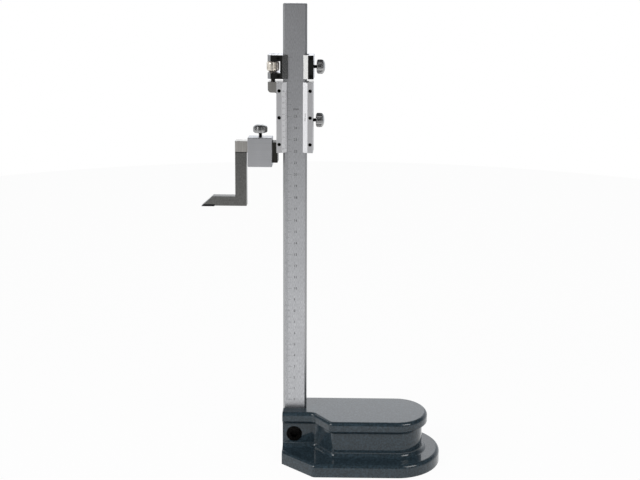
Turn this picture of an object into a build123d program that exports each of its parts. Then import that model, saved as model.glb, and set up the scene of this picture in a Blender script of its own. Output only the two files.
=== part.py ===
"""Single-column vernier height gauge, reading 222.5 mm.

Millimetres. The origin lies on the resting face of the base, under the centre of the
column. +X runs along the base to its round end, +Y to the rear, +Z up the column.
The vernier slider stands at the height that puts the scriber tip at `reading`.
"""

import os
from math import atan2, tan

from build123d import *

# ---------------------------------------------------------------- fits
running_gap = 0.05  # between pieces that slide or turn on each other
thread_gap = 0.05  # radial, between a fastener and its hole

# ---------------------------------------------------------------- setting
reading = 222.5  # height of the scriber tip above the surface plate

# ---------------------------------------------------------------- base
base_height = 43.0
base_arc_x = 88.6  # centre of the round end
base_arc_y = -7.0
top_flange_radius = 27.0
top_flange_thickness = 7.5
column_front_wall = 10.5  # from the column to the front of the narrow part that carries it
column_side_wall = 6.5  # from the column to where the top flange starts to widen
shoulder_run = 15.5  # length of the slanted shoulder along X
waist_inset = 4.5
bottom_flange_radius = 37.8
bottom_flange_thickness = 10.8
bottom_corner_step = 6.6  # its left corner stands this far ahead of the narrow front
bottom_shoulder_shift = 1.8  # the bottom shoulder ends this far right of the knee
base_corner_round = 5.0
top_edge_round = 3.0
bottom_edge_round = 3.2
waist_cove = 4.0
waist_top_slant = 4.0  # run and drop of the slant under the top flange
relief_depth = 1.5  # hollow of the ground underside
relief_rim = 10.0
relief_left_rim = 36.0  # the rim is wide under the column

# ---------------------------------------------------------------- column
column_width = 20.0
column_thickness = 9.0
column_top = 396.0
column_floor = 1.2  # the column's foot stands this far above the bottom flange
column_edge_chamfer = 1.5
column_end_chamfer = 0.6

clamp_bolt_drop = 0.7  # below the middle of the waist
clamp_bolt_head_diameter = 13.0
clamp_bolt_head_height = 4.2
clamp_bolt_head_sunk = 3.2
clamp_bolt_head_gap = 0.3
clamp_bolt_diameter = 8.0
clamp_bolt_hole_floor = 1.5  # left in the column behind the bolt
clamp_bolt_end_gap = 0.5
clamp_bolt_socket = 6.0
clamp_bolt_socket_depth = 3.0

# ---------------------------------------------------------------- slider and carriage sections
left_cheek = 5.25  # the slider's outline is symmetric, and the gib thins the right cheek
back_thickness = 5.0
back_edge_round = 1.0
gib_thickness = 1.45
gib_end_gap = 1.0  # the gib stops short of the ends of its slot
gib_side_gap = 0.15

plate_thickness = 3.0
plate_edge = 0.5  # thickness left at the bevel's foot
plate_lap = 3.15  # how far each slider plate laps over the column
bevel_width = 3.95
plate_end_chamfer = 0.8

slider_offset_z = 47.7  # bottom of the slider above the scriber tip
slider_length = 59.8
plate_screw_edge = 2.3  # from the side of the slider
plate_screw_inset = 7.1  # from its ends

carriage_gap = 2.9  # between slider and carriage
carriage_right_cheek = 4.4
fork_arm = 5.15  # thickness of the carriage above and below the nut
carriage_plate_thickness = 3.4
carriage_lap_left = 4.3
carriage_lap_right = 2.8
carriage_bevel_left = 4.65
carriage_bevel_right = 4.0
carriage_edge_chamfer = 2.6
carriage_screw_edge = 2.25

screw_head_diameter = 2.9
screw_head_height = 1.2
screw_head_sunk = 1.3
screw_shank_diameter = 1.6
screw_shank_depth = 2.5  # engagement in the cheek
screw_end_gap = 0.3

# ---------------------------------------------------------------- fine adjustment
rod_offset = 3.55  # from the slider's left side to the rod's axis
rod_y = 1.5
rod_diameter = 4.0
rod_hole_clearance = 0.2
rod_edge = 3.9  # from the rod's axis to the left side of the lug and the carriage
rod_end_gap = 0.5
rod_end_below_top = 2.5  # the rod ends inside the carriage's upper arm
nut_diameter = 10.8
nut_height = 9.3
nut_end_chamfer = 1.4
nut_flute_count = 8
nut_flute_radius = 1.9
nut_flute_depth = 0.75
nut_end_gap = 0.25
nut_side_gap = 1.35  # between the nut and the back of its fork
lug_height = 9.0
lug_rear_setback = 2.05  # ahead of the slider's back
lug_round = 3.0
lug_fillet = 1.6
lock_screw_diameter = 3.0
lock_screw_point = 2.6
lock_screw_point_length = 1.5
lock_screw_socket = 1.5
lock_screw_sunk = 0.4

# ---------------------------------------------------------------- thumb screws
stem_diameter = 3.0
head_diameter = 12.3
head_length = 7.1
head_neck_diameter = 7.6
head_neck_length = 1.9
head_rim_length = 2.9
head_crown_diameter = 7.6  # where the crown starts
head_crown_height = 0.55
head_flute_count = 8
head_flute_radius = 2.2
head_flute_depth = 0.8
slider_clamp_z = 27.3  # above the bottom of the slider
slider_stem_free = 2.3
carriage_stem_free = 2.25
box_stem_free = 3.6
shoe_length = 1.0

# ---------------------------------------------------------------- jaw arm, clamp box, scriber
arm_thickness = 7.8  # along Y, of the arm and of the scriber shank
flange_thickness = 3.9
flange_bottom_z = 38.55  # above the scriber tip
flange_height = 17.5
flange_rear_setback = 2.6  # ahead of the slider's back
flange_hook = 0.6  # reach of the shoulder under the slider
arm_height = 8.5
arm_end_gap = 0.45  # the arm ends inside the clamp box
arm_end_chamfer = 0.4
arm_screw_diameter = 2.5
arm_screw_head_diameter = 4.5
arm_screw_head_height = 2.5
arm_screw_z = 4.3  # above the bottom of the slider
arm_screw_end_wall = 0.95  # left in the cheek beyond the screw
arm_screw_inset = 2.75  # from the front and the rear of the flange

box_width = 20.6
box_wall = 2.55
box_floor = 3.5
box_roof = 2.9
box_slack = 0.3  # above the scriber's shank
box_edge_chamfer = 0.4

shank_height = 9.75
shank_end_gap = 0.55  # the shank ends inside the clamp box
leg_gap = 1.4  # between the leg and the clamp box
leg_width = 9.5
leg_front_step = 0.4
foot_height = 8.2
foot_reach = 29.15  # from the leg's left side to the tip
tip_protrusion = 0.6  # the carbide stands below the foot
tip_length = 11.5
tip_thickness = 1.8
nose_slope = 1.105  # run over rise of the slanted nose

# ---------------------------------------------------------------- worked out from the above
half_width = column_width / 2
half_thickness = column_thickness / 2
slot_left = -half_width - running_gap
slot_right = half_width + running_gap + gib_thickness
cheek_outer = left_cheek - slot_left
channel_front = -half_thickness - running_gap
channel_back = half_thickness + running_gap
channel_rear = channel_back + back_thickness

base_left = -half_width  # the left end is flush with the column
narrow_front_y = -half_thickness - column_front_wall
knee_x = half_width + column_side_wall
shoulder_x = knee_x + shoulder_run
bottom_shoulder_x = knee_x + bottom_shoulder_shift
bottom_corner_y = narrow_front_y - bottom_corner_step
waist_bottom = bottom_flange_thickness
waist_top = base_height - top_flange_thickness
column_seat_z = bottom_flange_thickness + column_floor
clamp_bolt_z = (waist_bottom + waist_top) / 2 - clamp_bolt_drop
relief_left = base_left + relief_left_rim

slider_bottom = reading + slider_offset_z
slider_top = slider_bottom + slider_length
slider_clamp_axis_z = slider_bottom + slider_clamp_z
slider_screw_x = cheek_outer - plate_screw_edge

rod_x = -cheek_outer - rod_offset
rod_side_x = rod_x - rod_edge  # left side of the lug and of the carriage
lug_rear_y = channel_rear - lug_rear_setback
fork_height = nut_height + 2 * nut_end_gap
fork_right_x = rod_x + nut_diameter / 2 + nut_side_gap
carriage_bottom = slider_top + carriage_gap
carriage_length = fork_height + 2 * fork_arm
carriage_top = carriage_bottom + carriage_length
carriage_right = slot_right + carriage_right_cheek
carriage_screw_x = carriage_right - carriage_screw_edge
fork_middle_z = carriage_bottom + carriage_length / 2
carriage_clamp_axis_z = fork_middle_z

flange_left = -cheek_outer - flange_thickness
flange_rear_y = channel_rear - flange_rear_setback
flange_hook_right = flange_hook - cheek_outer
arm_bottom = reading + flange_bottom_z
arm_top = arm_bottom + arm_height
arm_screw_depth = left_cheek - arm_screw_end_wall
arm_screw_places = [(y, slider_bottom + arm_screw_z)
                    for y in (channel_front + arm_screw_inset, flange_rear_y - arm_screw_inset)]

shank_bottom = arm_top + running_gap
shank_top = shank_bottom + shank_height
box_right = flange_left - running_gap
box_left = box_right - box_width
box_middle_x = (box_left + box_right) / 2
box_cavity_bottom = arm_bottom - running_gap
box_cavity_top = shank_top + box_slack
box_bottom = box_cavity_bottom - box_floor
box_top = box_cavity_top + box_roof
box_cavity_depth = arm_thickness + 2 * running_gap
shank_right = box_right - shank_end_gap
leg_right = box_left - leg_gap
leg_left = leg_right - leg_width
foot_bottom = reading + tip_protrusion
foot_top = foot_bottom + foot_height
tip_left = leg_left - foot_reach
tip_right = tip_left + tip_length
tip_top = reading + tip_thickness


def footprint(radius: float, left_y: float, knee_x: float, shoulder_x: float,
              overrun: float) -> Sketch:
    """Outline of one level of the base, run past the left end, which is cut flush later."""
    left = base_left - overrun
    front = base_arc_y - radius
    rear = base_arc_y + radius
    with BuildSketch() as outline:
        with BuildLine():
            Polyline((base_arc_x, rear), (left, rear), (left, left_y), (knee_x, left_y),
                     (shoulder_x, front), (base_arc_x, front))
            ThreePointArc((base_arc_x, front), (base_arc_x + radius, base_arc_y),
                          (base_arc_x, rear))
        make_face()
        corners = outline.vertices().filter_by_position(Axis.X, knee_x - 0.1, shoulder_x + 0.1)
        fillet(corners, base_corner_round)
    return outline.sketch


def clear_hole(diameter: float) -> float:
    """Radius of the hole for a fastener of the given diameter."""
    return diameter / 2 + thread_gap


def drill(plane: Plane, radius: float, depth: float, places: list = ((0, 0),)) -> Part:
    """Round cutters of one size at places on a plane, `depth` against its normal."""
    with BuildPart() as cutters:
        with BuildSketch(plane):
            with Locations(*places):
                Circle(radius)
        extrude(amount=-depth)
    return cutters.part


# ================================================================ base
# The corner shift keeps the waist parallel to the top flange round its slanted shoulder.
shoulder_angle = atan2(base_arc_y - top_flange_radius - narrow_front_y, shoulder_run)
corner_shift = waist_inset * tan(-shoulder_angle / 2)
bottom_slope = ((base_arc_y - bottom_flange_radius - bottom_corner_y)
                / (bottom_shoulder_x - base_left))
waist_front = narrow_front_y + waist_inset
waist_face = Plane.XZ.offset(-waist_front)  # looks to the front

bottom_outline = footprint(bottom_flange_radius, bottom_corner_y - 4 * bottom_slope,
                           base_left - 4, bottom_shoulder_x, overrun=60)
waist_outline = footprint(top_flange_radius - waist_inset, waist_front,
                          knee_x + corner_shift, shoulder_x + corner_shift, overrun=30)
top_outline = footprint(top_flange_radius, narrow_front_y, knee_x, shoulder_x, overrun=30)
relief_outline = footprint(bottom_flange_radius - relief_rim, bottom_corner_y,
                           relief_left, relief_left + relief_rim, overrun=0)

with BuildPart() as base_casting:
    with BuildSketch():
        add(bottom_outline)
    extrude(amount=bottom_flange_thickness)
    fillet(base_casting.faces().sort_by(Axis.Z)[-1].edges(), bottom_edge_round)
    # top flange
    with BuildSketch(Plane.XY.offset(waist_top)):
        add(top_outline)
    extrude(amount=top_flange_thickness)
    fillet(base_casting.faces().sort_by(Axis.Z)[-1].edges(), top_edge_round)
    # waist between the flanges, with a cove at its foot and a slant under the top flange
    with BuildSketch(Plane.XY.offset(waist_bottom)):
        add(waist_outline)
    extrude(amount=waist_top - waist_bottom)
    # sorted, because the chamfer below refuses some orders of its edges
    waist_edges = base_casting.edges(Select.LAST).sort_by(Axis.Y).sort_by(Axis.X)
    fillet(waist_edges.filter_by_position(Axis.Z, waist_bottom - 0.01, waist_bottom + 0.01),
           waist_cove)
    chamfer(waist_edges.filter_by_position(Axis.Z, waist_top - 0.01, waist_top + 0.01),
            waist_top_slant)
    # the left end is machined flat
    split(bisect_by=Plane.YZ.offset(base_left), keep=Keep.TOP)
    # slot for the column, open at the left end and the top
    with BuildSketch(Plane.XY.offset(column_seat_z)):
        Rectangle(column_width, column_thickness)
    extrude(amount=base_height, mode=Mode.SUBTRACT)
    # counterbored hole for the column's clamp bolt
    with Locations(waist_face * Location((0, clamp_bolt_z))):
        CounterBoreHole(clear_hole(clamp_bolt_diameter),
                        clamp_bolt_head_diameter / 2 + clamp_bolt_head_gap,
                        clamp_bolt_head_sunk, depth=-waist_front - half_thickness)
    # relieved underside, so that the base stands on a ground rim
    with BuildSketch():
        add(relief_outline)
        with Locations((relief_left, 0)):
            Rectangle(100, 200, align=(Align.MAX, Align.CENTER), mode=Mode.SUBTRACT)
    extrude(amount=relief_depth, mode=Mode.SUBTRACT)
base_casting.part.label = "base_casting"

# ================================================================ column
with BuildPart() as column:
    with BuildSketch(Plane.XY.offset(column_seat_z)):
        Rectangle(column_width, column_thickness)
    extrude(amount=column_top - column_seat_z)
    chamfer(column.edges().filter_by(Axis.Z), column_edge_chamfer)
    chamfer(column.faces().sort_by(Axis.Z)[-1].edges(), column_end_chamfer)
    with BuildSketch(Plane.XZ.offset(half_thickness)):
        with Locations((0, clamp_bolt_z)):
            Circle(clear_hole(clamp_bolt_diameter))
    extrude(amount=clamp_bolt_hole_floor - column_thickness, mode=Mode.SUBTRACT)
column.part.label = "column"

bolt_seat = -waist_front - clamp_bolt_head_sunk  # distance of the head's underside from XZ
with BuildPart() as column_clamp_screw:
    with BuildSketch(Plane.XZ.offset(bolt_seat)):
        with Locations((0, clamp_bolt_z)):
            Circle(clamp_bolt_head_diameter / 2)
    extrude(amount=clamp_bolt_head_height)
    head_face = column_clamp_screw.faces().sort_by(Axis.Y)[0]
    chamfer(head_face.edges(), 0.6)
    with BuildSketch(Plane.XZ.offset(bolt_seat)):
        with Locations((0, clamp_bolt_z)):
            Circle(clamp_bolt_diameter / 2)
    extrude(amount=clamp_bolt_hole_floor + clamp_bolt_end_gap - half_thickness - bolt_seat)
    with BuildSketch(Plane.XZ.offset(bolt_seat + clamp_bolt_head_height)):
        with Locations((0, clamp_bolt_z)):
            RegularPolygon(clamp_bolt_socket / 2, 6, major_radius=False)
    extrude(amount=-clamp_bolt_socket_depth, mode=Mode.SUBTRACT)
column_clamp_screw.part.label = "column_clamp_screw"


# ================================================================ pieces made more than once
def make_gib(label: str, bottom: float, length: float) -> BuildPart:
    """Flat strip between the column and the right cheek, which the clamp shoe presses."""
    with BuildPart() as gib:
        with BuildSketch(Plane.XY.offset(bottom + gib_end_gap)):
            with Locations((slot_right, 0)):
                Rectangle(gib_thickness, column_thickness - 2 * gib_side_gap,
                          align=(Align.MAX, Align.CENTER))
        extrude(amount=length - 2 * gib_end_gap)
    gib.part.label = label
    return gib


def make_shoe(label: str, seat: Plane) -> BuildPart:
    """Small round pad ahead of a thumb screw; `seat` lies on what it presses, facing out."""
    with BuildPart() as shoe:
        with BuildSketch(seat.offset(running_gap)):
            Circle(stem_diameter / 2 - running_gap)
        extrude(amount=shoe_length)
    shoe.part.label = label
    return shoe


def make_thumb_screw(label: str, seat: Plane, head_distance: float) -> BuildPart:
    """Thumb screw with a domed, fluted head.

    `seat` is the plane that the shoe presses; the stem starts behind the shoe, and the
    head starts `head_distance` from the seat.
    """
    start = 2 * running_gap + shoe_length
    profile = Plane(origin=seat.origin, x_dir=seat.x_dir, z_dir=seat.x_dir.cross(seat.z_dir))
    neck = head_neck_diameter / 2
    rim = head_diameter / 2
    crown = head_crown_diameter / 2
    rim_start = head_distance + head_neck_length
    rim_end = rim_start + head_rim_length
    head_end = head_distance + head_length
    with BuildPart() as screw:
        with BuildSketch(profile):
            with BuildLine():
                Polyline((0, head_distance), (neck, head_distance), (rim, rim_start),
                         (rim, rim_end), (crown, head_end - head_crown_height), (0, head_end),
                         (0, head_distance))
            make_face()
        revolve(axis=Axis(seat.origin, seat.z_dir))
        flute_centre = rim + head_flute_radius - head_flute_depth
        with BuildSketch(seat.offset(head_distance)):
            with PolarLocations(flute_centre, head_flute_count, start_angle=180 / head_flute_count):
                Circle(head_flute_radius)
        extrude(amount=head_length, mode=Mode.SUBTRACT)
        with BuildSketch(seat.offset(start)):
            Circle(stem_diameter / 2)
        extrude(amount=head_distance - start)
    screw.part.label = label
    return screw


def make_plate_screws(label: str, x: float, heights: list[float], front: float) -> BuildPart:
    """Cheese-head screws that hold a front plate; `front` is the plate's front face."""
    seat = front + screw_head_sunk
    with BuildPart() as screws:
        with BuildSketch(Plane.XZ.offset(-seat)):
            with Locations([(x, z) for z in heights]):
                Circle(screw_head_diameter / 2)
        extrude(amount=screw_head_height)
        with BuildSketch(Plane.XZ.offset(-seat)):
            with Locations([(x, z) for z in heights]):
                Circle(screw_shank_diameter / 2)
        extrude(amount=seat - channel_front - screw_shank_depth)
    screws.part.label = label
    return screws


def plate_screw_pockets(x: float, heights: list[float], front: float) -> Part:
    """Cutters for the counterbores and through holes of a plate's screws."""
    places = [(x, z) for z in heights]
    face = Plane.XZ.offset(-front)
    pockets = drill(face, clear_hole(screw_head_diameter), screw_head_sunk, places)
    return pockets + drill(face, clear_hole(screw_shank_diameter), channel_front - front, places)


def cheek_holes(x: float, heights: list[float]) -> Part:
    """Cutters for the blind holes of the plates' screws in both cheeks."""
    places = [(side * x, z) for side in (-1, 1) for z in heights]
    return drill(Plane.XZ.offset(-channel_front), clear_hole(screw_shank_diameter),
                 screw_shank_depth + screw_end_gap, places)


def channel_profile(left: float, right: float) -> Sketch:
    """Section of a channel that wraps the column's back and both its sides."""
    with BuildSketch() as profile:
        with Locations(((left + right) / 2, channel_front)):
            Rectangle(right - left, channel_rear - channel_front, align=(Align.CENTER, Align.MIN))
        with Locations(((slot_left + slot_right) / 2, channel_front)):
            Rectangle(slot_right - slot_left, channel_back - channel_front,
                      align=(Align.CENTER, Align.MIN), mode=Mode.SUBTRACT)
    return profile.sketch


def plate_profile(side: int, outer: float, inner: float, bevel: float, thickness: float) -> Sketch:
    """Section of a front plate whose inner edge is bevelled down to the column."""
    front = channel_front - thickness
    with BuildSketch() as profile:
        Polygon((side * outer, channel_front), (side * inner, channel_front),
                (side * inner, channel_front - plate_edge), (side * (inner + bevel), front),
                (side * outer, front), align=None)
    return profile.sketch


# ================================================================ slider
slider_screw_heights = [slider_bottom + plate_screw_inset, slider_bottom + slider_length / 2,
                        slider_top - plate_screw_inset]
slider_front = channel_front - plate_thickness
slider_clamp_seat = Plane(origin=(slot_right, 0, slider_clamp_axis_z), x_dir=(0, 1, 0),
                          z_dir=(1, 0, 0))

slider_profile = channel_profile(-cheek_outer, cheek_outer)
slider_clamp_bore = drill(slider_clamp_seat, clear_hole(stem_diameter), slot_right - cheek_outer)
slider_cheek_holes = cheek_holes(slider_screw_x, slider_screw_heights)

with BuildPart() as slider_body:
    with BuildSketch(Plane.XY.offset(slider_bottom)):
        add(slider_profile)
    extrude(amount=slider_length)
    fillet(slider_body.edges().filter_by(Axis.Z).sort_by(Axis.Y)[-2:], back_edge_round)
    # lug that holds the foot of the adjusting rod
    with BuildSketch(Plane.XZ.offset(-channel_front)) as lug_outline:
        with BuildLine():
            Polyline((-cheek_outer, slider_top), (rod_side_x, slider_top),
                     (rod_side_x, slider_top - lug_height),
                     (-cheek_outer, slider_top - lug_height), (-cheek_outer, slider_top))
        make_face()
        corner = lug_outline.vertices().sort_by(Axis.X)[:2].sort_by(Axis.Y)[0]
        fillet(corner, lug_round)
    extrude(amount=channel_front - lug_rear_y)
    inner_corner = slider_body.edges().filter_by(Axis.Y).sort_by_distance(
        (-cheek_outer, 0, slider_top - lug_height))[0]
    fillet(inner_corner, lug_fillet)
    with BuildSketch(Plane.XY.offset(slider_top)):
        with Locations((rod_x, rod_y)):
            Circle(clear_hole(rod_diameter))
    extrude(amount=-lug_height, mode=Mode.SUBTRACT)
    with BuildSketch(Plane.XZ.offset(-lug_rear_y)):
        with Locations((rod_x, slider_top - lug_height / 2)):
            Circle(clear_hole(lock_screw_diameter))
    extrude(amount=lug_rear_y - rod_y, mode=Mode.SUBTRACT)
    add(slider_clamp_bore, mode=Mode.SUBTRACT)
    add(slider_cheek_holes, mode=Mode.SUBTRACT)
    # tapped holes for the jaw arm's screws
    with BuildSketch(Plane.YZ.offset(-cheek_outer)):
        with Locations(*arm_screw_places):
            Circle(clear_hole(arm_screw_diameter))
    extrude(amount=arm_screw_depth + screw_end_gap, mode=Mode.SUBTRACT)
slider_body.part.label = "slider_body"


def make_slider_plate(label: str, side: int) -> BuildPart:
    """Left (-1) or right (+1) front plate of the slider."""
    profile = plate_profile(side, cheek_outer, half_width - plate_lap, bevel_width,
                            plate_thickness)
    pockets = plate_screw_pockets(side * slider_screw_x, slider_screw_heights, slider_front)
    with BuildPart() as plate:
        with BuildSketch(Plane.XY.offset(slider_bottom)):
            add(profile)
        extrude(amount=slider_length)
        top_front = plate.edges().filter_by(Axis.X).filter_by_position(
            Axis.Y, slider_front - 0.01, slider_front + 0.01).sort_by(Axis.Z)[-1]
        chamfer(top_front, plate_end_chamfer)
        add(pockets, mode=Mode.SUBTRACT)
    plate.part.label = label
    return plate


vernier_plate = make_slider_plate("vernier_plate", -1)
cover_plate = make_slider_plate("cover_plate", 1)
vernier_plate_screws = make_plate_screws(
    "vernier_plate_screws", -slider_screw_x, slider_screw_heights, slider_front)
cover_plate_screws = make_plate_screws(
    "cover_plate_screws", slider_screw_x, slider_screw_heights, slider_front)
slider_gib = make_gib("slider_gib", slider_bottom, slider_length)
slider_clamp_shoe = make_shoe("slider_clamp_shoe", slider_clamp_seat)
slider_clamp_screw = make_thumb_screw(
    "slider_clamp_screw", slider_clamp_seat, cheek_outer - slot_right + slider_stem_free)

# ================================================================ fine adjustment
with BuildPart() as fine_adjust_rod:
    with BuildSketch(Plane.XY.offset(slider_top - lug_height + rod_end_gap)):
        with Locations((rod_x, rod_y)):
            Circle(rod_diameter / 2)
    extrude(amount=carriage_top - rod_end_below_top - (slider_top - lug_height + rod_end_gap))
    chamfer(fine_adjust_rod.faces().sort_by(Axis.Z)[-1].edges(), 0.5)
fine_adjust_rod.part.label = "fine_adjust_rod"

with BuildPart() as rod_lock_screw:
    with BuildSketch(Plane.XZ.offset(-rod_y - rod_diameter / 2)):
        with Locations((rod_x, slider_top - lug_height / 2)):
            Circle(lock_screw_diameter / 2)
            RegularPolygon(lock_screw_socket / 2, 6, major_radius=False, mode=Mode.SUBTRACT)
    extrude(amount=rod_y + rod_diameter / 2 + lock_screw_sunk - lug_rear_y)
    with BuildSketch(Plane.XZ.offset(-rod_y - rod_diameter / 2)):
        with Locations((rod_x, slider_top - lug_height / 2)):
            Circle(lock_screw_point / 2)
    extrude(amount=-lock_screw_point_length)
rod_lock_screw.part.label = "rod_lock_screw"

with BuildPart() as fine_adjust_nut:
    with BuildSketch(Plane.XY.offset(fork_middle_z - nut_height / 2)):
        with Locations((rod_x, rod_y)):
            Circle(nut_diameter / 2)
    extrude(amount=nut_height)
    chamfer(fine_adjust_nut.edges(), nut_end_chamfer)
    flute_centre = nut_diameter / 2 + nut_flute_radius - nut_flute_depth
    with BuildSketch(Plane.XY.offset(fork_middle_z - nut_height / 2)):
        with Locations((rod_x, rod_y)):
            with PolarLocations(flute_centre, nut_flute_count, start_angle=-90):
                Circle(nut_flute_radius)
            Circle(clear_hole(rod_diameter))
    extrude(amount=nut_height, mode=Mode.SUBTRACT)
fine_adjust_nut.part.label = "fine_adjust_nut"

# ================================================================ carriage
carriage_front = channel_front - carriage_plate_thickness
carriage_screw_heights = [carriage_bottom + fork_arm / 2, carriage_top - fork_arm / 2]
carriage_clamp_seat = Plane(origin=(slot_right, 0, carriage_clamp_axis_z), x_dir=(0, 1, 0),
                            z_dir=(1, 0, 0))
fork_bottom = fork_middle_z - fork_height / 2


carriage_profile = channel_profile(rod_side_x, carriage_right)
carriage_clamp_bore = drill(carriage_clamp_seat, clear_hole(stem_diameter),
                            slot_right - carriage_right)
carriage_cheek_holes = cheek_holes(carriage_screw_x, carriage_screw_heights)

# fork for the adjusting nut, open to the left, front and rear
with BuildPart() as fork_cutter:
    with BuildSketch(Plane.XY.offset(fork_bottom)):
        with Locations((rod_side_x, 0)):
            Rectangle(fork_right_x - rod_side_x, 4 * channel_rear, align=(Align.MIN, Align.CENTER))
    extrude(amount=fork_height)

with BuildPart() as carriage_body:
    with BuildSketch(Plane.XY.offset(carriage_bottom)):
        add(carriage_profile)
    extrude(amount=carriage_length)
    fillet(carriage_body.edges().filter_by(Axis.Z).sort_by(Axis.Y)[-2:], back_edge_round)
    with BuildSketch(Plane.XY.offset(carriage_bottom)):
        with Locations((rod_x, rod_y)):
            Circle(rod_diameter / 2 + rod_hole_clearance)
    extrude(amount=carriage_length, mode=Mode.SUBTRACT)
    add(fork_cutter.part, mode=Mode.SUBTRACT)
    add(carriage_clamp_bore, mode=Mode.SUBTRACT)
    add(carriage_cheek_holes, mode=Mode.SUBTRACT)
carriage_body.part.label = "carriage_body"


def make_carriage_plate(label: str, side: int, outer: float, lap: float,
                        bevel: float) -> BuildPart:
    """Left (-1) or right (+1) front plate of the carriage."""
    profile = plate_profile(side, outer, half_width - lap, bevel, carriage_plate_thickness)
    pockets = plate_screw_pockets(side * carriage_screw_x, carriage_screw_heights, carriage_front)
    with BuildPart() as plate:
        with BuildSketch(Plane.XY.offset(carriage_bottom)):
            add(profile)
        extrude(amount=carriage_length)
        if side < 0:
            outer_edge = plate.edges().filter_by(Axis.Z).sort_by(Axis.X)[:2].sort_by(Axis.Y)[0]
            chamfer(outer_edge, carriage_edge_chamfer)
            add(fork_cutter.part, mode=Mode.SUBTRACT)
        add(pockets, mode=Mode.SUBTRACT)
    plate.part.label = label
    return plate


carriage_left_plate = make_carriage_plate(
    "carriage_left_plate", -1, -rod_side_x, carriage_lap_left, carriage_bevel_left)
carriage_right_plate = make_carriage_plate(
    "carriage_right_plate", 1, carriage_right, carriage_lap_right, carriage_bevel_right)
carriage_left_screws = make_plate_screws(
    "carriage_left_screws", -carriage_screw_x, carriage_screw_heights, carriage_front)
carriage_right_screws = make_plate_screws(
    "carriage_right_screws", carriage_screw_x, carriage_screw_heights, carriage_front)
carriage_gib = make_gib("carriage_gib", carriage_bottom, carriage_length)
carriage_clamp_shoe = make_shoe("carriage_clamp_shoe", carriage_clamp_seat)
carriage_clamp_screw = make_thumb_screw(
    "carriage_clamp_screw", carriage_clamp_seat, carriage_right - slot_right + carriage_stem_free)

# ================================================================ jaw arm
with BuildPart() as jaw_arm:
    # flange against the slider's left cheek, with a shoulder hooked under it
    with BuildSketch(Plane.XY.offset(arm_bottom)):
        Polygon((flange_left, channel_front), (-cheek_outer, channel_front),
                (-cheek_outer, flange_rear_y), (flange_left, flange_rear_y), align=None)
    extrude(amount=flange_height)
    with BuildSketch(Plane.XY.offset(arm_bottom)):
        Polygon((-cheek_outer, channel_front), (flange_hook_right, channel_front),
                (flange_hook_right, flange_rear_y), (-cheek_outer, flange_rear_y), align=None)
    extrude(amount=slider_bottom - arm_bottom)
    # bar that carries the clamp box and the scriber
    with BuildSketch(Plane.XY.offset(arm_bottom)):
        with Locations((flange_left, 0)):
            Rectangle(box_width + running_gap - arm_end_gap, arm_thickness,
                      align=(Align.MAX, Align.CENTER))
    extrude(amount=arm_height)
    chamfer(jaw_arm.faces().sort_by(Axis.X)[0].edges(), arm_end_chamfer)
    with BuildSketch(Plane.YZ.offset(flange_left)):
        with Locations(*arm_screw_places):
            Circle(clear_hole(arm_screw_head_diameter))
    extrude(amount=arm_screw_head_height + running_gap, mode=Mode.SUBTRACT)
    with BuildSketch(Plane.YZ.offset(flange_left)):
        with Locations(*arm_screw_places):
            Circle(clear_hole(arm_screw_diameter))
    extrude(amount=-cheek_outer - flange_left, mode=Mode.SUBTRACT)
jaw_arm.part.label = "jaw_arm"

arm_screw_seat = flange_left + arm_screw_head_height + running_gap
with BuildPart() as jaw_arm_screws:
    with BuildSketch(Plane.YZ.offset(arm_screw_seat)):
        with Locations(*arm_screw_places):
            Circle(arm_screw_head_diameter / 2)
    extrude(amount=-arm_screw_head_height)
    with BuildSketch(Plane.YZ.offset(arm_screw_seat)):
        with Locations(*arm_screw_places):
            Circle(arm_screw_diameter / 2)
    extrude(amount=arm_screw_depth - cheek_outer - arm_screw_seat)
jaw_arm_screws.part.label = "jaw_arm_screws"

# ================================================================ clamp box
box_clamp_seat = Plane(origin=(box_middle_x, 0, shank_top), x_dir=(1, 0, 0), z_dir=(0, 0, 1))

box_clamp_bore = drill(box_clamp_seat, clear_hole(stem_diameter), shank_top - box_top)

with BuildPart() as clamp_box:
    with BuildSketch(Plane.XY.offset(box_bottom)):
        with Locations((box_middle_x, 0)):
            Rectangle(box_width, box_cavity_depth + 2 * box_wall)
    extrude(amount=box_top - box_bottom)
    chamfer(clamp_box.edges(), box_edge_chamfer)
    with BuildSketch(Plane.XY.offset(box_cavity_bottom)):
        with Locations((box_middle_x, 0)):
            Rectangle(2 * box_width, box_cavity_depth)
    extrude(amount=box_cavity_top - box_cavity_bottom, mode=Mode.SUBTRACT)
    add(box_clamp_bore, mode=Mode.SUBTRACT)
clamp_box.part.label = "clamp_box"

scriber_clamp_shoe = make_shoe("scriber_clamp_shoe", box_clamp_seat)
scriber_clamp_screw = make_thumb_screw(
    "scriber_clamp_screw", box_clamp_seat, box_top - shank_top + box_stem_free)

# ================================================================ scriber
nose_top_x = tip_left + nose_slope * (foot_top - reading)
tip_top_x = tip_left + nose_slope * tip_thickness

with BuildPart() as scriber:
    with BuildSketch(Plane.XZ.offset(-arm_thickness / 2)):
        with BuildLine():
            Polyline((shank_right, shank_top), (leg_left, shank_top), (leg_left, foot_top),
                     (nose_top_x, foot_top), (tip_top_x, tip_top), (tip_right, tip_top),
                     (tip_right, foot_bottom), (leg_right, foot_bottom),
                     (leg_right, shank_bottom), (shank_right, shank_bottom),
                     (shank_right, shank_top))
        make_face()
    extrude(amount=arm_thickness)
    # the leg and foot are ground back from the front of the shank
    with BuildSketch(Plane.XZ.offset(arm_thickness / 2)):
        Polygon((leg_right, shank_bottom), (tip_left, shank_bottom), (tip_left, reading),
                (leg_right, reading), align=None)
    extrude(amount=-leg_front_step, mode=Mode.SUBTRACT)
scriber.part.label = "scriber"

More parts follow.
